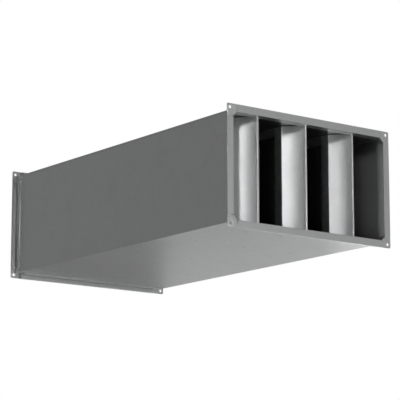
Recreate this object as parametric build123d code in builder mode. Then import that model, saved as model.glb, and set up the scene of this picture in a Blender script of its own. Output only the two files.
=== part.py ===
from build123d import *
import os

os.makedirs("parts", exist_ok=True)

# Rectangular duct silencer: a sheet casing with a slide-on flange frame at each end and three upright baffles.
# Millimetres. X is the width, Y the length with the front face at the negative end, Z is up.

# Casing
duct_w = 900.0           # clear width between the side panels
duct_h = 500.0           # clear height between the top and bottom panels
length = 1800.0          # over the faces of the two flanges
sheet = 1.0              # thickness of the casing sheet
fold_out = 7.0           # top and bottom panels, turned over the side panels
fold_in = 7.0            # side panels, turned in over the bottom and top panels
panel_gap = 0.2          # between the folded edges of neighbouring panels
seat_gap = 0.3           # between an edge and the wall it is pushed against

# Flange rail, folded and hollow
lip = 8.0                # height of the inner leg, so the flange opening is smaller than the duct
lip_depth = 45.0         # length of the inner leg along the duct
rail_h = 34.0            # from the flange opening to the outer edge
rail_wall = 1.0          # thickness of the rail sheet
bead_h = 12.0            # height of the stiffening bead along the outer edge
bead_depth = 12.0        # depth of the bead along the duct
base_depth = 45.0        # length of the outer leg along the duct
base_t = 4.0             # thickness of the folded outer leg
bend_r = 2.0             # bends behind the face
face_bend_r = 1.6        # rounded bends along the face and the outer edge

# Corner plate
plate_leg = 54.0         # length of each edge of the plate
plate_t = 3.0            # thickness of the plate
plate_recess_gap = 0.3   # between the plate arms and the rail walls
rail_end_gap = 2.0       # between the plate's edge and the end of a rail
plate_r = 7.0            # radius of the outer corner
arm_len = 32.0           # reach of each arm inside a rail
arm_tip = 3.0            # chamfer at the end of an arm
bolt_in = 17.0           # bolt hole centre from the outer edges
bolt_d = 14.0            # bolt hole diameter

# Baffles
baffle_count = 3
baffle_t = 150.0         # thickness over the side legs
baffle_pitch = 280.0     # between the centre planes
nose_in = 33.0           # nose tip behind the front flange face
tail_in = 52.0           # tail behind the rear flange face
baffle_sheet = 1.0       # thickness of the nose, channels and tail
tip_flat = 6.0           # width of the flat band on the nose tip
nose_depth = 84.0        # from the tip to the crease
nose_sag = 6.0           # rise of the nose flank over its chord
nose_leg = 51.0          # straight leg behind the crease
channel_leg = 40.0       # height of the channel legs
channel_under = 46.0     # reach of the channel webs under the nose
tail_leg = 50.0          # straight leg of the tail
end_clear = 8.3          # between the nose or tail and the panels above and below
core_gap = 0.2           # between the absorber and its frame
joint_gap = 0.3          # between the nose, the channels and the tail

# Rivets
rivet_head_d = 9.5       # diameter of the head
rivet_head_t = 1.5       # height of the head
rivet_slope = 30.0       # slope of the head's edge, in degrees
rivet_d = 4.8            # diameter of the shank
rivet_fit = 0.1          # radial clearance of the shank in the sheets
rivet_bulb_d = 6.6       # diameter of the swollen end
rivet_bulb_t = 4.0       # height of the swollen end
head_sides = 16          # flats around a head
shank_sides = 8          # flats around a shank and its holes
rivet_spread = 40.0      # end rivets, either side of the centre plane of a baffle
rivet_end = 170.0        # end rivets from the flange face
rivet_mid = 410.0        # spacing of the rivets on the centre line
core_pocket_gap = 0.5    # around the rivet bulbs in the absorber

# Derived
casing_z = rail_h - lip
opening_w = duct_w - 2 * lip
opening_h = duct_h - 2 * lip
outer_w = opening_w + 2 * rail_h
outer_h = opening_h + 2 * rail_h
mid_z = outer_h / 2
top_z = casing_z + duct_h
slot = plate_t + 2 * plate_recess_gap
web_t = slot + 2 * rail_wall
plate_y = rail_wall + plate_recess_gap
panel_half = length / 2 - web_t - seat_gap
half_t = baffle_t / 2
side_in = half_t - baffle_sheet
baffle_x = [(i - (baffle_count - 1) / 2) * baffle_pitch for i in range(baffle_count)]
baffle_names = [f"baffle_{i + 1}" for i in range(baffle_count)]
tip_y = -length / 2 + nose_in
crease_y = tip_y + nose_depth
nose_end_y = crease_y + nose_leg
tail_y = length / 2 - tail_in
tail_start_y = tail_y - tail_leg
rivet_row = length / 2 - rivet_end

rivet_spots = []
for x0 in baffle_x:
    for row_y in (-rivet_row, rivet_row):
        rivet_spots += [(x0 - rivet_spread, row_y), (x0 + rivet_spread, row_y)]
    rivet_spots += [(x0, -rivet_mid), (x0, 0.0), (x0, rivet_mid)]


# Casing panels. The top and bottom sheets lie between the flanges and fold over the outside of the side sheets.
hook_x = duct_w / 2 + sheet + panel_gap
for name, face_z, outward in (("casing_bottom", casing_z, -1), ("casing_top", top_z, 1)):
    inner = face_z
    outer = face_z + outward * sheet
    turned = face_z - outward * (fold_out - sheet)
    with BuildPart() as panel:
        with BuildSketch(Plane.XZ):
            with BuildLine():
                Polyline(
                    (-hook_x - sheet, outer),
                    (hook_x + sheet, outer),
                    (hook_x + sheet, turned),
                    (hook_x, turned),
                    (hook_x, inner),
                    (-hook_x, inner),
                    (-hook_x, turned),
                    (-hook_x - sheet, turned),
                    close=True,
                )
            make_face()
        extrude(amount=panel_half, both=True)
        with BuildSketch(Plane.XY.offset(outer)):
            with Locations(*rivet_spots):
                RegularPolygon(rivet_d / 2 + rivet_fit, shank_sides)
        extrude(amount=-outward * sheet, mode=Mode.SUBTRACT)
    panel.part.label = name
    export_step(panel.part, f"parts/{name}.step")

# Side panels: the long edges turn in over the inside of the bottom and top sheets.
for name, outward in (("casing_left", -1), ("casing_right", 1)):
    inner = outward * duct_w / 2
    outer = outward * (duct_w / 2 + sheet)
    turned = outward * (duct_w / 2 - fold_in)
    with BuildPart() as panel:
        with BuildSketch(Plane.XZ):
            with BuildLine():
                Polyline(
                    (outer, casing_z),
                    (turned, casing_z),
                    (turned, casing_z + sheet),
                    (inner, casing_z + sheet),
                    (inner, top_z - sheet),
                    (turned, top_z - sheet),
                    (turned, top_z),
                    (outer, top_z),
                    close=True,
                )
            make_face()
        extrude(amount=panel_half, both=True)
    panel.part.label = name
    export_step(panel.part, f"parts/{name}.step")

# Flange rails. In the section, x runs from the face along the duct and y outward from the opening.
pocket_in = lip
pocket_out = lip + sheet
base_out = pocket_out + base_t
bead_in = rail_h - bead_h
rail_section = [
    (0, 0),
    (0, rail_h),
    (bead_depth, rail_h),
    (bead_depth, bead_in),
    (web_t, bead_in - bend_r),
    (web_t, base_out + bend_r),
    (web_t + bend_r, base_out),
    (base_depth, base_out),
    (base_depth, pocket_out),
    (web_t, pocket_out),
    (web_t, pocket_in),
    (lip_depth, pocket_in),
    (lip_depth, 0),
]
lip_space = [
    (rail_wall, rail_wall),
    (lip_depth - rail_wall, rail_wall),
    (lip_depth - rail_wall, lip - rail_wall),
    (rail_wall, lip - rail_wall),
]
arm_space = [
    (rail_wall, base_out + rail_wall),
    (rail_wall, rail_h - rail_wall),
    (bead_depth - rail_wall, rail_h - rail_wall),
    (bead_depth - rail_wall, bead_in + rail_wall),
    (rail_wall + slot, bead_in - bend_r),
    (rail_wall + slot, base_out + rail_wall),
]
base_space = [
    (web_t, pocket_out + rail_wall),
    (base_depth - rail_wall, pocket_out + rail_wall),
    (base_depth - rail_wall, base_out - rail_wall),
    (web_t, base_out - rail_wall),
]
rail_stop = plate_leg + rail_end_gap - rail_h
face_bends = ((0, 0), (0, rail_h), (bead_depth, rail_h))
for end, face_y, inward in (("front", -length / 2, 1), ("rear", length / 2, -1)):
    for side, out_x, out_z in (("bottom", 0, -1), ("top", 0, 1), ("left", -1, 0), ("right", 1, 0)):
        name = f"{end}_rail_{side}"
        half_run = (opening_w if out_z else opening_h) / 2 - rail_stop
        along = Vector(0, inward, 0).cross(Vector(out_x, 0, out_z))
        lip_at = (out_x * opening_w / 2, face_y, mid_z + out_z * opening_h / 2)
        with BuildPart() as rail:
            with BuildSketch(Plane(origin=lip_at, x_dir=(0, inward, 0), z_dir=along)) as section:
                with BuildLine():
                    Polyline(*rail_section, close=True)
                make_face()
                fillet([section.vertices().sort_by_distance((u, v, 0))[0] for u, v in face_bends], face_bend_r)
                for space in (lip_space, arm_space, base_space):
                    with BuildLine():
                        Polyline(*space, close=True)
                    make_face(mode=Mode.SUBTRACT)
            extrude(amount=half_run, both=True)
        rail.part.label = name
        export_step(rail.part, f"parts/{name}.step")

# Corner plates. The arms run behind the rail faces; the inner corner is cut off and covers the corner of the opening.
arm_near = rail_wall + plate_recess_gap
arm_far = rail_h - base_out - rail_wall - plate_recess_gap
arm_end = plate_leg + arm_len
plate_edge = [
    (0, 0),
    (plate_leg, 0),
    (plate_leg, arm_near),
    (arm_end - arm_tip, arm_near),
    (arm_end, arm_near + arm_tip),
    (arm_end, arm_far - arm_tip),
    (arm_end - arm_tip, arm_far),
    (plate_leg, arm_far),
    (plate_leg, rail_h),
    (rail_h, plate_leg),
    (arm_far, plate_leg),
    (arm_far, arm_end - arm_tip),
    (arm_far - arm_tip, arm_end),
    (arm_near + arm_tip, arm_end),
    (arm_near, arm_end - arm_tip),
    (arm_near, plate_leg),
    (0, plate_leg),
]
for end, plane_y, inward in (("front", -length / 2 + plate_y, 1), ("rear", length / 2 - plate_y, -1)):
    for place, sx, sz in (("bottom_left", -1, -1), ("bottom_right", 1, -1), ("top_left", -1, 1), ("top_right", 1, 1)):
        name = f"{end}_corner_{place}"
        edge = [(sx * (outer_w / 2 - u), sz * (outer_h / 2 - v)) for u, v in plate_edge]
        with BuildPart() as plate:
            with BuildSketch(Plane(origin=(0, plane_y, mid_z), x_dir=(1, 0, 0), z_dir=(0, -1, 0))) as outline:
                with BuildLine():
                    Polyline(*edge, close=True)
                make_face()
                tip = outline.vertices().sort_by_distance((sx * outer_w / 2, sz * outer_h / 2, 0))[0]
                fillet(tip, plate_r)
                with Locations((sx * (outer_w / 2 - bolt_in), sz * (outer_h / 2 - bolt_in))):
                    Circle(bolt_d / 2, mode=Mode.SUBTRACT)
            extrude(amount=-inward * plate_t)
        plate.part.label = name
        export_step(plate.part, f"parts/{name}.step")

# Baffle noses: a flat tip, two bulged flanks, a crease and straight side legs, open at the back.
for name, x0 in zip(baffle_names, baffle_x):
    with BuildPart() as nose:
        with BuildSketch(Plane.XY.offset(casing_z + end_clear)):
            with BuildLine():
                Line((x0 - tip_flat / 2, tip_y), (x0 + tip_flat / 2, tip_y))
                SagittaArc((x0 + tip_flat / 2, tip_y), (x0 + half_t, crease_y), -nose_sag)
                Line((x0 + half_t, crease_y), (x0 + half_t, nose_end_y + baffle_sheet))
                Line((x0 + half_t, nose_end_y + baffle_sheet), (x0 - half_t, nose_end_y + baffle_sheet))
                Line((x0 - half_t, nose_end_y + baffle_sheet), (x0 - half_t, crease_y))
                SagittaArc((x0 - half_t, crease_y), (x0 - tip_flat / 2, tip_y), -nose_sag)
            make_face()
            offset(amount=-baffle_sheet, mode=Mode.SUBTRACT)
            with Locations((x0, nose_end_y + baffle_sheet)):
                Rectangle(baffle_t, 2 * baffle_sheet, mode=Mode.SUBTRACT)
        extrude(amount=duct_h - 2 * end_clear)
    nose.part.label = f"{name}_nose"
    export_step(nose.part, f"parts/{name}_nose.step")

# Baffle tails: a channel standing on end, open towards the absorber.
for name, x0 in zip(baffle_names, baffle_x):
    with BuildPart() as tail:
        with BuildSketch(Plane.XY.offset(casing_z + end_clear)):
            with Locations((x0, tail_y - tail_leg / 2)):
                Rectangle(baffle_t, tail_leg)
            with Locations((x0, tail_y - tail_leg / 2 - baffle_sheet)):
                Rectangle(2 * side_in, tail_leg, mode=Mode.SUBTRACT)
        extrude(amount=duct_h - 2 * end_clear)
    tail.part.label = f"{name}_tail"
    export_step(tail.part, f"parts/{name}_tail.step")

# Baffle channels: along the bottom and the top panel, with a narrower web that reaches under the nose and the tail.
run_front = nose_end_y + joint_gap
run_rear = tail_start_y - joint_gap
run_y = (run_front + run_rear) / 2
run_len = run_rear - run_front
web_front = nose_end_y - channel_under
web_rear = tail_start_y + channel_under
for name, x0 in zip(baffle_names, baffle_x):
    for level, web_z, up in (("bottom", casing_z, 1), ("top", top_z, -1)):
        with BuildPart() as channel:
            with BuildSketch(Plane.XY.offset(web_z)):
                with Locations((x0, run_y)):
                    Rectangle(baffle_t, run_len)
                with Locations((x0, (web_front + web_rear) / 2)):
                    Rectangle(2 * (side_in - joint_gap), web_rear - web_front)
                with Locations(*[spot for spot in rivet_spots if abs(spot[0] - x0) < half_t]):
                    RegularPolygon(rivet_d / 2 + rivet_fit, shank_sides, mode=Mode.SUBTRACT)
            extrude(amount=up * baffle_sheet)
            with BuildSketch(Plane.XY.offset(web_z)):
                with Locations((x0, run_y)):
                    Rectangle(baffle_t, run_len)
                    Rectangle(2 * side_in, run_len, mode=Mode.SUBTRACT)
            extrude(amount=up * channel_leg)
        channel.part.label = f"{name}_{level}_channel"
        export_step(channel.part, f"parts/{name}_{level}_channel.step")

# Absorber cores, with small pockets for the rivet ends.
core_z0 = casing_z + baffle_sheet + core_gap
core_z1 = top_z - baffle_sheet - core_gap
core_y0 = crease_y + baffle_sheet
core_y1 = tail_y - baffle_sheet - core_gap
for name, x0 in zip(baffle_names, baffle_x):
    with BuildPart() as core:
        with BuildSketch(Plane.XY.offset(core_z0)):
            with Locations((x0, (core_y0 + core_y1) / 2)):
                Rectangle(2 * (side_in - core_gap), core_y1 - core_y0)
        extrude(amount=core_z1 - core_z0)
        for pocket_z, up in ((core_z0, 1), (core_z1, -1)):
            with BuildSketch(Plane.XY.offset(pocket_z)):
                with Locations(*[spot for spot in rivet_spots if abs(spot[0] - x0) < half_t]):
                    RegularPolygon(rivet_bulb_d / 2 + core_pocket_gap, shank_sides)
            extrude(amount=up * (rivet_bulb_t - core_gap + core_pocket_gap), mode=Mode.SUBTRACT)
    core.part.label = f"{name}_core"
    export_step(core.part, f"parts/{name}_core.step")

# Rivets through the panels and the channel webs.
for name, face_z, up in (("bottom_rivets", casing_z - sheet, 1), ("top_rivets", top_z + sheet, -1)):
    with BuildPart() as rivets:
        with BuildSketch(Plane.XY.offset(face_z)):
            with Locations(*rivet_spots):
                RegularPolygon(rivet_head_d / 2, head_sides)
        extrude(amount=-up * rivet_head_t, taper=rivet_slope)
        with BuildSketch(Plane.XY.offset(face_z)):
            with Locations(*rivet_spots):
                RegularPolygon(rivet_d / 2, shank_sides)
        extrude(amount=up * (sheet + baffle_sheet))
        with BuildSketch(Plane.XY.offset(face_z + up * (sheet + baffle_sheet))):
            with Locations(*rivet_spots):
                RegularPolygon(rivet_bulb_d / 2, shank_sides)
        extrude(amount=up * rivet_bulb_t)
    rivets.part.label = name
    export_step(rivets.part, f"parts/{name}.step")
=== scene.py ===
"""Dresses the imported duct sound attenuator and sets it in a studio.

The casing, the flange frames, the baffles and the rivets get their finished shapes and their
finishes. Then come the floor, the lights and the camera. Lengths are in metres.
"""

import logging
import math
from dataclasses import dataclass, field
from enum import Enum

import bmesh
import bpy
from mathutils import Matrix, Vector


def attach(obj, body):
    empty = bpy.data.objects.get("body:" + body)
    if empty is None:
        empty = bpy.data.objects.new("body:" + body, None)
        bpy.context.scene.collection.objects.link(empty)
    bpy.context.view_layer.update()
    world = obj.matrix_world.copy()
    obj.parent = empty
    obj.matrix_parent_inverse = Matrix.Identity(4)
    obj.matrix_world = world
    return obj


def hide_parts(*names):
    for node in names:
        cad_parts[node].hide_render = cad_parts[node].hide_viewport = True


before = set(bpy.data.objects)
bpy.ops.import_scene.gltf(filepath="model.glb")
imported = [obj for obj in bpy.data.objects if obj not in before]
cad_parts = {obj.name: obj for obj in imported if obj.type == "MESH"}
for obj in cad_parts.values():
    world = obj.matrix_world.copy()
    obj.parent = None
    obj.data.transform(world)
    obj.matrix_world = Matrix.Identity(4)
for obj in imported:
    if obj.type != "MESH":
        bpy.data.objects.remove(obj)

LOG = logging.getLogger("attenuator")
BODY = "root"
WELD = 1e-6
FLAT_ANGLE = math.radians(0.5)
SMOOTH_ANGLE = math.radians(21.0)
SHARP_ANGLE = math.radians(28.0)
RIM_ANGLE = math.radians(60.0)


@dataclass(frozen=True)
class Duct:
    """The duct's driving sizes, which its pieces share."""

    half_length: float = 0.9
    half_width: float = 0.45
    floor_z: float = 0.026
    ceiling_z: float = 0.526
    sheet: float = 0.001
    baffle_pitch: float = 0.28
    baffle_half: float = 0.075


DUCT = Duct()


class End(Enum):
    """The two ends of the duct."""

    FRONT = "front"
    REAR = "rear"


class Level(Enum):
    """The bottom and the top of the duct."""

    BOTTOM = "bottom"
    TOP = "top"


class Slot(Enum):
    """The record's material slots."""

    CASING = "casing_sheet"
    RAIL = "flange_rail"
    CORNER = "corner_plate"
    BAFFLE = "baffle_sheet"
    FLEECE = "absorber_fleece"
    RIVET = "rivet"


class Finish(Enum):
    """The finishes, with their materials' names."""

    CASING = "casing_zinc"
    RAIL = "rail_zinc"
    UPRIGHT_RAIL = "upright_rail_zinc"
    CORNER = "corner_zinc"
    BAFFLE = "baffle_zinc"
    CHANNEL = "channel_zinc"
    RIVET = "rivet_metal"
    FLEECE = "black_fleece"
    FLOOR = "studio_floor"


class Rolling(Enum):
    """The direction in which a sheet was rolled, with how finely its grain varies by axis."""

    ALONG = (260.0, 4.0, 260.0)
    ACROSS = (4.0, 260.0, 260.0)
    UPRIGHT = (260.0, 260.0, 4.0)


# Node tree helpers


@dataclass
class Shader:
    """A node tree that is being wired, with short calls for its common steps."""

    tree: bpy.types.NodeTree

    def add(self, kind: str, **sockets: object) -> bpy.types.Node:
        """Adds a node and sets its inputs.

        Args:
            kind: the node's type name.
            sockets: input values, by socket name with underscores for spaces.

        Returns:
            The new node.
        """
        node = self.tree.nodes.new(kind)
        for name, value in sockets.items():
            node.inputs[name.replace("_", " ")].default_value = value
        return node

    def link(self, out: bpy.types.NodeSocket, to: bpy.types.NodeSocket) -> None:
        """Joins an output socket to an input socket."""
        self.tree.links.new(out, to)

    def feed(self, value: object, to: bpy.types.NodeSocket) -> None:
        """Gives an input socket another socket's output or a plain value.

        Args:
            value: a socket or a value.
            to: the input socket.
        """
        if isinstance(value, bpy.types.NodeSocket):
            self.link(value, to)
        else:
            to.default_value = value

    def math(
        self, operation: str, first: object, second: object = 0.0, clamp: bool = False
    ) -> bpy.types.NodeSocket:
        """Adds a math node on one or two values or sockets.

        Args:
            operation: the math operation's name.
            first: a socket or a number.
            second: a socket or a number.
            clamp: whether the result is held between 0 and 1.

        Returns:
            The result's socket.
        """
        node = self.tree.nodes.new("ShaderNodeMath")
        node.operation = operation
        node.use_clamp = clamp
        self.feed(first, node.inputs[0])
        self.feed(second, node.inputs[1])
        return node.outputs[0]

    def weigh(self, base: float, *parts: tuple) -> bpy.types.NodeSocket:
        """Adds up sockets by their weights, over a base value.

        Args:
            base: the base value.
            parts: pairs of a socket and its weight.

        Returns:
            The sum's socket.
        """
        total = base
        for out, weight in parts:
            total = self.math("ADD", total, self.math("MULTIPLY", out, weight))
        return total

    def stand_out(
        self, out: bpy.types.NodeSocket, threshold: float, contrast: float
    ) -> bpy.types.NodeSocket:
        """Keeps only the part of a pattern above a threshold, made stronger and held to 0 to 1.

        Args:
            out: the pattern's socket.
            threshold: the level where the result starts.
            contrast: how steeply it rises from there.

        Returns:
            The result's socket.
        """
        return self.math("MULTIPLY", self.math("SUBTRACT", out, threshold), contrast, clamp=True)

    def vector_math(self, operation: str, first: object, second: object) -> bpy.types.Node:
        """Adds a vector math node on two vectors or sockets.

        Args:
            operation: the vector operation's name.
            first: a socket or a vector.
            second: a socket or a vector.

        Returns:
            The new node.
        """
        node = self.tree.nodes.new("ShaderNodeVectorMath")
        node.operation = operation
        self.feed(first, node.inputs[0])
        self.feed(second, node.inputs[1])
        return node

    def blend(
        self, factor: bpy.types.NodeSocket, low: object, high: object
    ) -> bpy.types.NodeSocket:
        """Adds a colour mix between two colours or colour sockets.

        Args:
            factor: the socket that drives the mix.
            low: the colour at 0.
            high: the colour at 1.

        Returns:
            The colour's socket.
        """
        node = self.tree.nodes.new("ShaderNodeMix")
        node.data_type = "RGBA"
        colours = [socket for socket in node.inputs if socket.type == "RGBA"]
        self.link(factor, node.inputs["Factor"])
        self.feed(low, colours[0])
        self.feed(high, colours[1])
        return next(socket for socket in node.outputs if socket.type == "RGBA")

    def use(
        self, group: bpy.types.NodeTree, place: bpy.types.NodeSocket, **sockets: object
    ) -> bpy.types.Node:
        """Adds a shared group and feeds it the object's coordinates.

        Args:
            group: the node group.
            place: the socket of the coordinates.
            sockets: values of the group's other inputs.

        Returns:
            The group's node.
        """
        node = self.tree.nodes.new("ShaderNodeGroup")
        node.node_tree = group
        self.link(place, node.inputs["Position"])
        for name, value in sockets.items():
            node.inputs[name].default_value = value
        return node

    def roughen(self, height: bpy.types.NodeSocket, strength: float, distance: float) -> None:
        """Gives the tree's surface shader a bump.

        Args:
            height: the socket of the bump's height.
            strength: the bump's strength.
            distance: the bump's full height.
        """
        bump = self.add("ShaderNodeBump", Strength=strength, Distance=distance)
        self.link(height, bump.inputs["Height"])
        self.link(bump.outputs["Normal"], self.tree.nodes["Principled BSDF"].inputs["Normal"])


def new_group(name: str, inputs: dict, outputs: tuple) -> tuple:
    """Makes an empty shader node group that reads a position, with named sockets.

    Args:
        name: the group's name.
        inputs: the other inputs' names, with a number or a vector as the default value.
        outputs: names of the value outputs.

    Returns:
        The group, its wiring helper, its input node and its output node.
    """
    group = bpy.data.node_groups.new(name, "ShaderNodeTree")
    group.interface.new_socket(name="Position", in_out="INPUT", socket_type="NodeSocketVector")
    for label, default in inputs.items():
        kind = "NodeSocketVector" if isinstance(default, tuple) else "NodeSocketFloat"
        socket = group.interface.new_socket(name=label, in_out="INPUT", socket_type=kind)
        socket.default_value = default
    for label in outputs:
        group.interface.new_socket(name=label, in_out="OUTPUT", socket_type="NodeSocketFloat")
    start = group.nodes.new("NodeGroupInput")
    return group, Shader(group), start, group.nodes.new("NodeGroupOutput")


def new_material(name: str) -> tuple:
    """Makes a material with its surface shader.

    Args:
        name: the material's name.

    Returns:
        The material, its wiring helper, the shader's inputs and the object coordinates' socket.
    """
    material = bpy.data.materials.new(name)
    material.use_nodes = True
    wire = Shader(material.node_tree)
    place = wire.add("ShaderNodeTexCoord").outputs["Object"]
    return material, wire, material.node_tree.nodes["Principled BSDF"].inputs, place


# Effects that the finishes share


@dataclass(frozen=True)
class Spangle:
    """Zinc spangle: crystal patches that differ a little in shade, over a cloudy drift."""

    crystals: float = 90.0
    clouds: float = 3.0
    wobble: float = 0.004
    wobble_detail: float = 2.0
    cloud_detail: float = 3.0
    cloud_roughness: float = 0.5

    def build(self) -> bpy.types.NodeTree:
        """Builds the node group.

        Returns:
            The node group, with outputs Shade and Drift.
        """
        inputs = {"Crystals": self.crystals, "Clouds": self.clouds}
        group, wire, start, end = new_group("zinc_spangle", inputs, ("Shade", "Drift"))
        place = start.outputs["Position"]
        wobble = wire.add("ShaderNodeTexNoise", Detail=self.wobble_detail)
        wire.link(place, wobble.inputs["Vector"])
        wire.link(start.outputs["Crystals"], wobble.inputs["Scale"])
        bend = wire.vector_math("MULTIPLY", wobble.outputs["Color"], (self.wobble,) * 3)
        shifted = wire.vector_math("ADD", bend.outputs[0], place)
        crystals = wire.add("ShaderNodeTexVoronoi")
        wire.link(shifted.outputs[0], crystals.inputs["Vector"])
        wire.link(start.outputs["Crystals"], crystals.inputs["Scale"])
        shade = wire.add("ShaderNodeSeparateColor")
        wire.link(crystals.outputs["Color"], shade.inputs["Color"])
        clouds = wire.add(
            "ShaderNodeTexNoise", Detail=self.cloud_detail, Roughness=self.cloud_roughness
        )
        wire.link(place, clouds.inputs["Vector"])
        wire.link(start.outputs["Clouds"], clouds.inputs["Scale"])
        wire.link(shade.outputs["Red"], end.inputs["Shade"])
        wire.link(clouds.outputs["Fac"], end.inputs["Drift"])
        return group


@dataclass(frozen=True)
class RollingGrain:
    """Rolling grain: faint streaks along one direction of the sheet."""

    detail: float = 4.0
    roughness: float = 0.6

    def build(self) -> bpy.types.NodeTree:
        """Builds the node group.

        Returns:
            The node group, with output Streak.
        """
        inputs = {"Stretch": Rolling.ALONG.value}
        group, wire, start, end = new_group("rolling_grain", inputs, ("Streak",))
        stretched = wire.vector_math(
            "MULTIPLY", start.outputs["Position"], start.outputs["Stretch"]
        )
        streak = wire.add(
            "ShaderNodeTexNoise", Scale=1.0, Detail=self.detail, Roughness=self.roughness
        )
        wire.link(stretched.outputs[0], streak.inputs["Vector"])
        wire.link(streak.outputs["Fac"], end.inputs["Streak"])
        return group


@dataclass(frozen=True)
class HandlingMarks:
    """Marks of handling: soft smudges, and a few fine scuffs within them."""

    size: float = 9.0
    detail: float = 5.0
    roughness: float = 0.62
    distortion: float = 0.8
    threshold: float = 0.52
    contrast: float = 5.0
    scuff_stretch: tuple = (40.0, 900.0, 300.0)
    scuff_detail: float = 2.0
    scuff_distortion: float = 0.3
    scuff_threshold: float = 0.66
    scuff_contrast: float = 9.0

    def build(self) -> bpy.types.NodeTree:
        """Builds the node group.

        Returns:
            The node group, with outputs Smudge and Scuff.
        """
        inputs = {"Size": self.size}
        group, wire, start, end = new_group("handling_marks", inputs, ("Smudge", "Scuff"))
        place = start.outputs["Position"]
        cloud = wire.add(
            "ShaderNodeTexNoise",
            Detail=self.detail,
            Roughness=self.roughness,
            Distortion=self.distortion,
        )
        wire.link(place, cloud.inputs["Vector"])
        wire.link(start.outputs["Size"], cloud.inputs["Scale"])
        smudge = wire.stand_out(cloud.outputs["Fac"], self.threshold, self.contrast)
        lines = wire.vector_math("MULTIPLY", place, self.scuff_stretch)
        scratch = wire.add(
            "ShaderNodeTexNoise",
            Scale=1.0,
            Detail=self.scuff_detail,
            Distortion=self.scuff_distortion,
        )
        wire.link(lines.outputs[0], scratch.inputs["Vector"])
        fine = wire.stand_out(scratch.outputs["Fac"], self.scuff_threshold, self.scuff_contrast)
        wire.link(smudge, end.inputs["Smudge"])
        wire.link(wire.math("MULTIPLY", fine, smudge), end.inputs["Scuff"])
        return group


@dataclass(frozen=True)
class DuctInside:
    """Masks of the duct's inner walls and of its ceiling, by their place; the walls' mask leaves
    a band of painted shade under the ceiling.
    """

    wall_reach: float = 0.0003
    level_reach: float = 0.0005
    shade_band_height: float = 0.051
    shade_fade_height: float = 0.03

    def build(self) -> bpy.types.NodeTree:
        """Builds the node group: the walls' mask fades out below the ceiling, which leaves bare
        dark metal there as painted shade.

        Returns:
            The node group, with outputs Walls and Ceiling.
        """
        group, wire, start, end = new_group("duct_inside", {}, ("Walls", "Ceiling"))
        place = wire.add("ShaderNodeSeparateXYZ")
        wire.link(start.outputs["Position"], place.inputs["Vector"])
        height = place.outputs["Z"]
        offset = wire.math("ABSOLUTE", place.outputs["X"])
        inner = wire.math("LESS_THAN", offset, DUCT.half_width + self.wall_reach)
        above = wire.math("GREATER_THAN", height, DUCT.floor_z + self.level_reach)
        # Painted shade: the walls' top band under the ceiling gets no dust film and stays dark.
        below = wire.math("SUBTRACT", DUCT.ceiling_z - self.shade_band_height, height)
        below_shade_band = wire.math("DIVIDE", below, self.shade_fade_height, clamp=True)
        drop = wire.math("ABSOLUTE", wire.math("SUBTRACT", height, DUCT.ceiling_z))
        ceiling = wire.math("LESS_THAN", drop, self.level_reach)
        walls = wire.math("MULTIPLY", inner, wire.math("MULTIPLY", above, below_shade_band))
        wire.link(walls, end.inputs["Walls"])
        wire.link(wire.math("MULTIPLY", inner, ceiling), end.inputs["Ceiling"])
        return group


# Finishes


@dataclass(frozen=True)
class ZincFinish:
    """Galvanised sheet: smooth grey metal with faint spangle, grain, marks and uneven gloss."""

    finish: Finish
    colour: float
    roughness: float
    spangle: float
    crystals: float
    rolling: Rolling
    ripple: float = 0.00005
    ripple_strength: float = 0.12
    tint: tuple = (0.985, 0.995, 1.0)
    crystal_share: float = 0.5
    drift_share: float = 0.5
    smudge_share: float = 0.35
    smudge_level: float = 0.9
    streak_dulling: float = 0.06
    crystal_dulling: float = 0.03
    smudge_dulling: float = 0.03
    scuff_dulling: float = 0.1
    mean_dulling: float = 0.05
    film: float = 0.0
    film_colour: tuple = (0.3, 0.3, 0.3, 1.0)
    film_base: float = 0.75
    film_drift: float = 0.5
    # Painted shade on the duct's inner ceiling: how strongly, and how dark.
    ceiling_shade: float = 0.7
    ceiling_shade_level: float = 0.05

    def shade(self, level: float) -> tuple:
        """Gives the sheet's colour at a level of brightness."""
        return tuple(self.colour * level * part for part in self.tint) + (1.0,)

    def build(self, groups: dict) -> bpy.types.Material:
        """Makes the material.

        Args:
            groups: the shared node groups by name.

        Returns:
            The material.
        """
        material, wire, inputs, place = new_material(self.finish.value)
        inputs["Metallic"].default_value = 1.0
        spangle = wire.use(groups["spangle"], place, Crystals=self.crystals).outputs
        streak = wire.use(groups["grain"], place, Stretch=self.rolling.value).outputs["Streak"]
        marks = wire.use(groups["marks"], place).outputs
        mix = wire.weigh(
            0.0, (spangle["Shade"], self.crystal_share), (spangle["Drift"], self.drift_share)
        )
        colour = wire.blend(mix, self.shade(1 - self.spangle), self.shade(1 + self.spangle))
        smudged = wire.math("MULTIPLY", marks["Smudge"], self.smudge_share)
        colour = wire.blend(smudged, colour, self.shade(self.smudge_level))
        gloss = wire.weigh(
            self.roughness - self.mean_dulling,
            (streak, self.streak_dulling),
            (spangle["Shade"], self.crystal_dulling),
            (marks["Smudge"], self.smudge_dulling),
            (marks["Scuff"], self.scuff_dulling),
        )
        if self.film:
            inside = wire.use(groups["inside"], place).outputs
            # Dust film on the inner walls; its mask leaves painted shade in the band under the
            # ceiling.
            dust = wire.weigh(self.film_base, (spangle["Drift"], self.film_drift))
            dust = wire.math("MULTIPLY", wire.math("MULTIPLY", inside["Walls"], dust), self.film)
            colour = wire.blend(dust, colour, self.film_colour)
            # Painted shade: the inner ceiling is darkened towards a dull dark grey.
            shaded_ceiling = wire.math("MULTIPLY", inside["Ceiling"], self.ceiling_shade)
            colour = wire.blend(shaded_ceiling, colour, self.shade(self.ceiling_shade_level))
            wire.link(wire.math("SUBTRACT", 1.0, dust), inputs["Metallic"])
        wire.link(colour, inputs["Base Color"])
        wire.link(gloss, inputs["Roughness"])
        wire.roughen(streak, self.ripple_strength, self.ripple)
        return material


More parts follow.
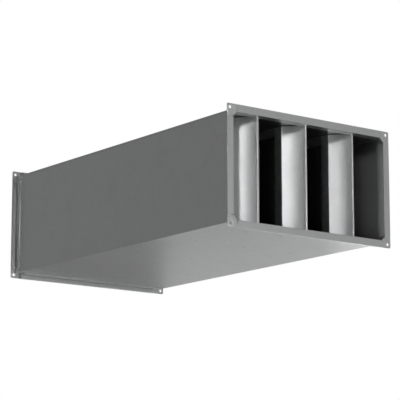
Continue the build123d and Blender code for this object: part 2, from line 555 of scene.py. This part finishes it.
@dataclass(frozen=True)
class FleeceFinish:
    """Black glass fleece over the wool: matte, with fine crossing fibres and a little dust."""

    finish: Finish = Finish.FLEECE
    ground: tuple = (0.005, 0.005, 0.0052, 1.0)
    fibre: tuple = (0.016, 0.016, 0.0165, 1.0)
    dust: tuple = (0.022, 0.022, 0.022, 1.0)
    dust_share: float = 0.25
    dust_size: float = 14.0
    fibre_scale: float = 420.0
    fibre_detail: float = 6.0
    fibre_roughness: float = 0.7
    fibre_distortion: float = 1.5
    roughness: float = 0.95
    specular: float = 0.08
    nap: float = 0.0004
    nap_strength: float = 0.5

    def build(self, groups: dict) -> bpy.types.Material:
        """Makes the material.

        Args:
            groups: the shared node groups by name.

        Returns:
            The material.
        """
        material, wire, inputs, place = new_material(self.finish.value)
        fibres = wire.add(
            "ShaderNodeTexNoise",
            Scale=self.fibre_scale,
            Detail=self.fibre_detail,
            Roughness=self.fibre_roughness,
            Distortion=self.fibre_distortion,
        )
        wire.link(place, fibres.inputs["Vector"])
        marks = wire.use(groups["marks"], place, Size=self.dust_size)
        fibre = wire.blend(fibres.outputs["Fac"], self.ground, self.fibre)
        dusty = wire.math("MULTIPLY", marks.outputs["Smudge"], self.dust_share)
        wire.link(wire.blend(dusty, fibre, self.dust), inputs["Base Color"])
        inputs["Roughness"].default_value = self.roughness
        inputs["Specular IOR Level"].default_value = self.specular
        wire.roughen(fibres.outputs["Fac"], self.nap_strength, self.nap)
        return material


@dataclass(frozen=True)
class FloorFinish:
    """The plain pale studio floor."""

    finish: Finish = Finish.FLOOR
    colour: tuple = (0.8, 0.8, 0.8, 1.0)
    roughness: float = 0.7

    def build(self, groups: dict) -> bpy.types.Material:
        """Makes the material.

        Args:
            groups: the shared node groups by name, of which a plain floor needs none.

        Returns:
            The material.
        """
        material, _, inputs, _ = new_material(self.finish.value)
        inputs["Base Color"].default_value = self.colour
        inputs["Roughness"].default_value = self.roughness
        return material


FINISHES = (
    ZincFinish(
        Finish.CASING,
        colour=0.6,
        roughness=0.3,
        spangle=0.03,
        crystals=60.0,
        rolling=Rolling.ALONG,
        film=0.24,
    ),
    ZincFinish(
        Finish.RAIL,
        colour=0.62,
        roughness=0.36,
        spangle=0.03,
        crystals=110.0,
        rolling=Rolling.ACROSS,
    ),
    ZincFinish(
        Finish.UPRIGHT_RAIL,
        colour=0.62,
        roughness=0.36,
        spangle=0.03,
        crystals=110.0,
        rolling=Rolling.UPRIGHT,
    ),
    ZincFinish(
        Finish.CORNER,
        colour=0.62,
        roughness=0.38,
        spangle=0.04,
        crystals=150.0,
        rolling=Rolling.ACROSS,
    ),
    ZincFinish(
        Finish.BAFFLE,
        colour=0.8,
        roughness=0.385,
        spangle=0.02,
        crystals=80.0,
        rolling=Rolling.UPRIGHT,
        ripple=0.00003,
    ),
    ZincFinish(
        Finish.CHANNEL,
        colour=0.6,
        roughness=0.34,
        spangle=0.03,
        crystals=80.0,
        rolling=Rolling.ALONG,
    ),
    ZincFinish(
        Finish.RIVET,
        colour=0.42,
        roughness=0.4,
        spangle=0.03,
        crystals=300.0,
        rolling=Rolling.ACROSS,
    ),
    FleeceFinish(),
    FloorFinish(),
)


@dataclass
class Workshop:
    """The materials of all finishes, and the bench where pieces are finished."""

    materials: dict = field(default_factory=dict)

    def open(self) -> None:
        """Builds every shared effect and every material."""
        groups = {
            "spangle": Spangle().build(),
            "grain": RollingGrain().build(),
            "marks": HandlingMarks().build(),
            "inside": DuctInside().build(),
        }
        for entry in FINISHES:
            self.materials[entry.finish] = entry.build(groups)

    def finish(
        self, shape: bmesh.types.BMesh, node: str, slot: Slot, finish: Finish
    ) -> bpy.types.Object:
        """Makes a finished piece of a shape and lets it stand for its CAD node.

        Args:
            shape: the piece's shape, which is used up.
            node: the CAD node.
            slot: the record's material slot; not used.
            finish: the piece's finish.

        Returns:
            The piece.
        """
        bmesh.ops.remove_doubles(shape, verts=shape.verts, dist=WELD)
        shape.normal_update()
        for face in shape.faces:
            face.smooth = True
        for edge in shape.edges:
            edge.smooth = not edge.is_manifold or edge.calc_face_angle(0.0) < SMOOTH_ANGLE
        name = f"{node}_finished"
        mesh = bpy.data.meshes.new(name)
        shape.to_mesh(mesh)
        shape.free()
        piece = bpy.data.objects.new(name, mesh)
        bpy.context.scene.collection.objects.link(piece)
        mesh.materials.append(self.materials[finish])
        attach(piece, BODY)
        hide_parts(node)
        LOG.info("finished %s with %d faces", node, len(mesh.polygons))
        return piece


# Shaping steps that several pieces share


def sharp_edges(shape: bmesh.types.BMesh, angle: float) -> list:
    """Lists the edges where two faces meet at more than an angle."""
    return [
        edge for edge in shape.edges if edge.is_manifold and edge.calc_face_angle(0.0) > angle
    ]


def round_edges(shape: bmesh.types.BMesh, edges: list, width: float, steps: int) -> None:
    """Rounds some edges of a shape.

    Args:
        shape: the shape.
        edges: the edges.
        width: the width of the rounding.
        steps: the steps of the rounding.
    """
    bmesh.ops.bevel(
        shape,
        geom=edges,
        offset=width,
        offset_type="OFFSET",
        segments=steps,
        profile=0.5,
        affect="EDGES",
        clamp_overlap=True,
        material=-1,
    )


def only_verts(geometry: list) -> list:
    """Keeps only the vertices of an operator's result."""
    return [item for item in geometry if isinstance(item, bmesh.types.BMVert)]


def everything(shape: bmesh.types.BMesh) -> list:
    """Lists all vertices, edges and faces of a shape."""
    return list(shape.verts) + list(shape.edges) + list(shape.faces)


def soft_edged(
    node: str, width: float, steps: int = 2, shortest: float = 0.0
) -> bmesh.types.BMesh:
    """Copies a CAD node's mesh and rounds its sharp edges.

    Args:
        node: the CAD node.
        width: the width of the rounding.
        steps: the steps of the rounding.
        shortest: edges up to this length stay sharp.

    Returns:
        The shape.
    """
    shape = bmesh.new()
    shape.from_mesh(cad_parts[node].data)
    bmesh.ops.remove_doubles(shape, verts=shape.verts, dist=WELD)
    bmesh.ops.dissolve_limit(
        shape, angle_limit=FLAT_ANGLE, verts=shape.verts, edges=shape.edges
    )
    sharp = [edge for edge in sharp_edges(shape, SHARP_ANGLE) if edge.calc_length() > shortest]
    round_edges(shape, sharp, width, steps)
    return shape


# The silencer's sub-assemblies


@dataclass
class Casing:
    """The four casing panels, with rounded sheet edges."""

    panels: tuple = ("casing_bottom", "casing_top", "casing_left", "casing_right")
    edge: float = 0.0003

    def build(self, shop: Workshop) -> None:
        """Finishes the panels."""
        for panel in self.panels:
            shop.finish(soft_edged(panel, self.edge), panel, Slot.CASING, Finish.CASING)


@dataclass
class FlangeFrame:
    """One flange frame: four folded rails and four pressed corner plates."""

    end: End
    rail_edge: float = 0.0002
    rail_steps: int = 1
    plate_edge: float = 0.0006
    plate_steps: int = 3
    rails: tuple = (
        ("bottom", Finish.RAIL),
        ("top", Finish.RAIL),
        ("left", Finish.UPRIGHT_RAIL),
        ("right", Finish.UPRIGHT_RAIL),
    )
    corners: tuple = ("bottom_left", "bottom_right", "top_left", "top_right")

    def build(self, shop: Workshop) -> None:
        """Finishes the rails and the corner plates."""
        for side, finish in self.rails:
            rail = f"{self.end.value}_rail_{side}"
            shape = soft_edged(rail, self.rail_edge, self.rail_steps)
            shop.finish(shape, rail, Slot.RAIL, finish)
        for place in self.corners:
            plate = f"{self.end.value}_corner_{place}"
            shape = soft_edged(plate, self.plate_edge, self.plate_steps)
            shop.finish(shape, plate, Slot.CORNER, Finish.CORNER)


@dataclass
class BaffleNose:
    """The nose of a baffle, in thin sheet: a narrow tip, two faintly hollow flanks and legs."""

    centre_x: float
    half_tip: float = 0.003
    set_back: float = 0.033
    depth: float = 0.084
    leg: float = 0.051
    rise: float = -0.0037
    end_gap: float = 0.0083
    rim_set_back: float = 0.047
    rim_height: float = 0.0058
    flank_steps: int = 28
    bend: float = 0.0015
    bend_steps: int = 3
    rim: float = 0.0002
    rim_steps: int = 1

    def build_shape(self) -> bmesh.types.BMesh:
        """Forms the nose: one half in plan, drawn up, mirrored and given its thickness.

        Returns:
            The shape.
        """
        shape = bmesh.new()
        bottom_z = DUCT.floor_z + self.end_gap
        top_z = DUCT.ceiling_z - self.end_gap
        self.draw_plan(shape, bottom_z)
        drawn = bmesh.ops.extrude_edge_only(shape, edges=list(shape.edges))["geom"]
        raised = only_verts(drawn)
        bmesh.ops.translate(shape, verts=raised, vec=(0.0, 0.0, top_z - bottom_z))
        self.draw_rim(shape, bottom_z, -self.rim_height)
        self.draw_rim(shape, top_z, self.rim_height)
        bmesh.ops.mirror(
            shape,
            geom=everything(shape),
            matrix=Matrix.Identity(4),
            merge_dist=WELD,
            axis="X",
        )
        bmesh.ops.recalc_face_normals(shape, faces=shape.faces)
        foremost = min(shape.faces, key=lambda face: face.calc_center_median().y)
        if foremost.normal.y > 0:
            bmesh.ops.reverse_faces(shape, faces=shape.faces)
        round_edges(shape, sharp_edges(shape, SMOOTH_ANGLE), self.bend, self.bend_steps)
        bmesh.ops.solidify(shape, geom=list(shape.faces), thickness=DUCT.sheet)
        shape.normal_update()
        round_edges(shape, sharp_edges(shape, RIM_ANGLE), self.rim, self.rim_steps)
        bmesh.ops.translate(shape, verts=shape.verts, vec=(self.centre_x, 0.0, 0.0))
        return shape

    def draw_plan(self, shape: bmesh.types.BMesh, height: float) -> None:
        """Draws one half of the nose in plan: half the tip, the flank as a spun arc, and the leg.

        Args:
            shape: the nose's shape, still empty.
            height: the height of the plan.
        """
        tip_y = self.set_back - DUCT.half_length
        start = Vector((self.half_tip, tip_y, height))
        crease = Vector((DUCT.baffle_half, tip_y + self.depth, height))
        chord = crease - start
        radius = chord.length**2 / (8 * self.rise) + self.rise / 2
        outward = Vector((chord.y, -chord.x, 0.0)).normalized()
        first = bmesh.ops.create_vert(shape, co=start)["vert"][0]
        spun = bmesh.ops.spin(
            shape,
            geom=[first],
            cent=(start + crease) / 2 - outward * (radius - self.rise),
            axis=(0.0, 0.0, 1.0),
            angle=2 * math.asin(chord.length / (2 * radius)),
            steps=self.flank_steps,
        )
        last = only_verts(spun["geom_last"])[0]
        leg = bmesh.ops.extrude_vert_indiv(shape, verts=[last])["verts"][0]
        leg.co = crease + Vector((0.0, self.leg, 0.0))
        tip = bmesh.ops.extrude_vert_indiv(shape, verts=[first])["verts"][0]
        tip.co = Vector((0.0, tip_y, height))

    def draw_rim(self, shape: bmesh.types.BMesh, level: float, step: float) -> None:
        """Draws the sheet's edge on towards the casing panel, behind the flange's inner leg.

        Args:
            shape: the nose's shape.
            level: the height of the edge.
            step: how far it is drawn.
        """
        rim_y = self.rim_set_back - DUCT.half_length
        edges = [
            edge
            for edge in shape.edges
            if all(abs(vert.co.z - level) < WELD and vert.co.y > rim_y for vert in edge.verts)
        ]
        drawn = bmesh.ops.extrude_edge_only(shape, edges=edges)["geom"]
        bmesh.ops.translate(shape, verts=only_verts(drawn), vec=(0.0, 0.0, step))


@dataclass
class Absorber:
    """The wool core under its fleece, whose faces lie a little back between the frames."""

    node: str
    edge: float = 0.003
    edge_steps: int = 3
    long_edge: float = 0.1
    side_facing: float = 0.99
    side_area: float = 0.4
    frame_cover: float = 0.048
    slope: float = 0.02
    set_back: float = 0.0015

    def build_shape(self) -> bmesh.types.BMesh:
        """Forms the absorber from the CAD core.

        Returns:
            The shape.
        """
        shape = soft_edged(self.node, self.edge, self.edge_steps, self.long_edge)
        shape.normal_update()
        sides = [
            face
            for face in shape.faces
            if abs(face.normal.x) > self.side_facing and face.calc_area() > self.side_area
        ]
        for width, depth in ((self.frame_cover, 0.0), (self.slope, -self.set_back)):
            bmesh.ops.inset_individual(
                shape, faces=sides, thickness=width, depth=depth, use_even_offset=True
            )
        return shape


@dataclass
class Baffle:
    """One upright baffle: nose, tail, two channels and the absorber."""

    number: int
    middle_number: int = 2
    tail_edge: float = 0.0003
    channel_edge: float = 0.0003

    def build(self, shop: Workshop) -> None:
        """Forms and finishes the baffle's pieces."""
        name = f"baffle_{self.number}"
        centre_x = (self.number - self.middle_number) * DUCT.baffle_pitch
        nose = BaffleNose(centre_x).build_shape()
        shop.finish(nose, f"{name}_nose", Slot.BAFFLE, Finish.BAFFLE)
        tail = f"{name}_tail"
        shop.finish(soft_edged(tail, self.tail_edge), tail, Slot.BAFFLE, Finish.BAFFLE)
        for level in Level:
            channel = f"{name}_{level.value}_channel"
            shape = soft_edged(channel, self.channel_edge)
            shop.finish(shape, channel, Slot.BAFFLE, Finish.CHANNEL)
        core = f"{name}_core"
        shop.finish(Absorber(core).build_shape(), core, Slot.FLEECE, Finish.FLEECE)


@dataclass
class RivetRows:
    """The rivets of the bottom and the top panel: domed heads, shanks and swollen ends."""

    spread: float = 0.04
    end_row: float = 0.73
    mid_row: float = 0.41
    head_radius: float = 0.00475
    head_height: float = 0.0015
    shank_radius: float = 0.0024
    grip: float = 0.002
    bulb_radius: float = 0.0033
    bulb_length: float = 0.004
    dome_steps: int = 5
    round_steps: int = 24

    def spots(self) -> list:
        """Lists the places of one panel's rivets.

        Returns:
            The places in plan.
        """
        places = []
        for column in (-DUCT.baffle_pitch, 0.0, DUCT.baffle_pitch):
            for row in (-self.end_row, self.end_row):
                places += [(column - self.spread, row), (column + self.spread, row)]
            places += [(column, -self.mid_row), (column, 0.0), (column, self.mid_row)]
        return places

    def turn_rivet(self) -> bmesh.types.BMesh:
        """Turns one rivet about its axis, head down, with the panel's face at zero.

        Returns:
            The shape.
        """
        shape = bmesh.new()
        dome = (self.head_radius**2 + self.head_height**2) / (2 * self.head_height)
        crown = bmesh.ops.create_vert(shape, co=(0.0, 0.0, -self.head_height))["vert"][0]
        spun = bmesh.ops.spin(
            shape,
            geom=[crown],
            cent=(0.0, 0.0, dome - self.head_height),
            axis=(0.0, -1.0, 0.0),
            angle=math.asin(self.head_radius / dome),
            steps=self.dome_steps,
        )
        last = only_verts(spun["geom_last"])[0]
        end = self.grip + self.bulb_length
        for radius, height in (
            (self.shank_radius, 0.0),
            (self.shank_radius, self.grip),
            (self.bulb_radius, self.grip),
            (self.bulb_radius, end),
            (0.0, end),
        ):
            last = bmesh.ops.extrude_vert_indiv(shape, verts=[last])["verts"][0]
            last.co = Vector((radius, 0.0, height))
        bmesh.ops.spin(
            shape,
            geom=everything(shape),
            cent=(0.0, 0.0, 0.0),
            axis=(0.0, 0.0, 1.0),
            angle=2 * math.pi,
            steps=self.round_steps,
            use_merge=True,
        )
        bmesh.ops.remove_doubles(shape, verts=shape.verts, dist=WELD)
        bmesh.ops.recalc_face_normals(shape, faces=shape.faces)
        return shape

    def build(self, shop: Workshop) -> None:
        """Forms and finishes both panels' rivets."""
        for level, face_z, turn in (
            (Level.BOTTOM, DUCT.floor_z - DUCT.sheet, 0.0),
            (Level.TOP, DUCT.ceiling_z + DUCT.sheet, math.pi),
        ):
            shape = self.turn_rivet()
            upright = Matrix.Rotation(turn, 3, "X")
            bmesh.ops.rotate(shape, verts=shape.verts, cent=(0.0, 0.0, 0.0), matrix=upright)
            first, *others = self.spots()
            pattern = everything(shape)
            for column, row in others:
                copied = bmesh.ops.duplicate(shape, geom=pattern)["geom"]
                moved = only_verts(copied)
                bmesh.ops.translate(shape, verts=moved, vec=(column, row, face_z))
            bmesh.ops.translate(shape, verts=only_verts(pattern), vec=(*first, face_z))
            shop.finish(shape, f"{level.value}_rivets", Slot.RIVET, Finish.RIVET)


# The studio


@dataclass(frozen=True)
class Softbox:
    """A square light around the duct's mouth, turned towards it; a small spread narrows it.

    The azimuth runs in degrees from the duct's left side towards its front, the elevation
    upwards.
    """

    name: str
    azimuth: float
    elevation: float
    power: float
    size: float = 1.1
    distance: float = 4.5
    aim: tuple = (0.0, -0.8, 0.3)
    spread: float = 180.0

    def build(self) -> None:
        """Makes the light."""
        turn = math.radians(self.azimuth)
        tilt = math.radians(self.elevation)
        level = math.cos(tilt)
        towards = Vector((-math.cos(turn) * level, -math.sin(turn) * level, math.sin(tilt)))
        data = bpy.data.lights.new(self.name, "AREA")
        data.shape = "SQUARE"
        data.size = self.size
        data.energy = self.power
        data.spread = math.radians(self.spread)
        lamp = bpy.data.objects.new(self.name, data)
        bpy.context.scene.collection.objects.link(lamp)
        lamp.location = Vector(self.aim) + towards * self.distance
        lamp.rotation_euler = (-towards).to_track_quat("-Z", "Y").to_euler()
        lamp.visible_camera = False
        LOG.info("lit %s", self.name)


@dataclass
class Studio:
    """World, floor, lights and camera."""

    camera_place: tuple = (-5.432, -7.299, -1.499)
    camera_yaw: float = 36.91
    camera_pitch: float = 11.28
    camera_reach: float = 200.0
    focal_px: float = 1903.0
    image_px: float = 400.0
    sensor: float = 36.0
    floor_z: float = -2.4
    floor_half: float = 40.0
    backdrop: tuple = (1.0, 1.0, 1.0, 1.0)
    world_base: float = 0.02
    world_glows: tuple = (
        ((1.0, 0.0, 0.0), 0.76),
        ((0.0, 1.0, 0.0), 0.36),
        ((0.0, 0.0, 1.0), 0.03),
        ((0.0, 0.0, -1.0), 0.05),
    )
    lights: tuple = (
        Softbox(
            "key_softbox",
            azimuth=44.0,
            elevation=14.0,
            power=1.25,
            distance=9.0,
            aim=(-0.74, -0.4, 0.28),
            spread=18.0,
        ),
        Softbox("front_softbox", azimuth=90.0, elevation=10.0, power=14.0),
        Softbox("low_softbox", azimuth=90.0, elevation=-20.0, power=92.0),
        Softbox("side_softbox", azimuth=60.0, elevation=-20.0, power=7.0),
        Softbox("under_softbox", azimuth=205.0, elevation=-27.0, power=140.0),
        Softbox("right_softbox", azimuth=220.0, elevation=-12.0, power=2.4),
        Softbox("rear_softbox", azimuth=235.0, elevation=-12.0, power=1.2),
    )

    def build(self, shop: Workshop) -> None:
        """Builds the whole studio."""
        self.build_world()
        self.build_floor(shop)
        for light in self.lights:
            light.build()
        self.build_camera()
        bpy.context.scene.view_settings.view_transform = "Standard"

    def build_world(self) -> None:
        """Makes a white backdrop for the camera and a soft, uneven surround for the metal."""
        world = bpy.data.worlds.new("studio_world")
        bpy.context.scene.world = world
        world.use_nodes = True
        wire = Shader(world.node_tree)
        world.node_tree.nodes.clear()
        out = wire.add("ShaderNodeOutputWorld")
        direction = wire.add("ShaderNodeTexCoord").outputs["Generated"]
        glows = []
        for side, strength in self.world_glows:
            facing = wire.vector_math("DOT_PRODUCT", direction, side).outputs["Value"]
            glows.append((wire.math("MAXIMUM", facing), strength))
        surround = wire.add("ShaderNodeBackground")
        wire.link(wire.weigh(self.world_base, *glows), surround.inputs["Strength"])
        backdrop = wire.add("ShaderNodeBackground", Color=self.backdrop, Strength=1.0)
        pick = wire.add("ShaderNodeMixShader")
        seen = wire.add("ShaderNodeLightPath").outputs["Is Camera Ray"]
        wire.link(seen, pick.inputs["Fac"])
        wire.link(surround.outputs["Background"], pick.inputs[1])
        wire.link(backdrop.outputs["Background"], pick.inputs[2])
        wire.link(pick.outputs["Shader"], out.inputs["Surface"])

    def build_floor(self, shop: Workshop) -> None:
        """Makes the floor, well below the hung duct."""
        shape = bmesh.new()
        bmesh.ops.create_grid(shape, x_segments=1, y_segments=1, size=self.floor_half)
        bmesh.ops.translate(shape, verts=shape.verts, vec=(0.0, 0.0, self.floor_z))
        mesh = bpy.data.meshes.new("floor")
        shape.to_mesh(mesh)
        shape.free()
        floor = bpy.data.objects.new("floor", mesh)
        bpy.context.scene.collection.objects.link(floor)
        mesh.materials.append(shop.materials[Finish.FLOOR])

    def build_camera(self) -> None:
        """Makes the camera at the photograph's place."""
        data = bpy.data.cameras.new("camera")
        data.sensor_width = self.sensor
        data.lens = self.focal_px / self.image_px * self.sensor
        data.clip_end = self.camera_reach
        camera = bpy.data.objects.new("camera", data)
        bpy.context.scene.collection.objects.link(camera)
        camera.location = self.camera_place
        tilt = math.pi / 2 + math.radians(self.camera_pitch)
        camera.rotation_euler = (tilt, 0.0, -math.radians(self.camera_yaw))
        bpy.context.scene.camera = camera


def main() -> None:
    """Builds the attenuator's looks and the studio, in order."""
    logging.basicConfig(level=logging.INFO, format="%(name)s: %(message)s")
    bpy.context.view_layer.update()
    shop = Workshop()
    shop.open()
    Casing().build(shop)
    for end in End:
        FlangeFrame(end).build(shop)
    for number in (1, 2, 3):
        Baffle(number).build(shop)
    RivetRows().build(shop)
    Studio().build(shop)
    bpy.context.view_layer.update()


if __name__ == "__main__":
    main()
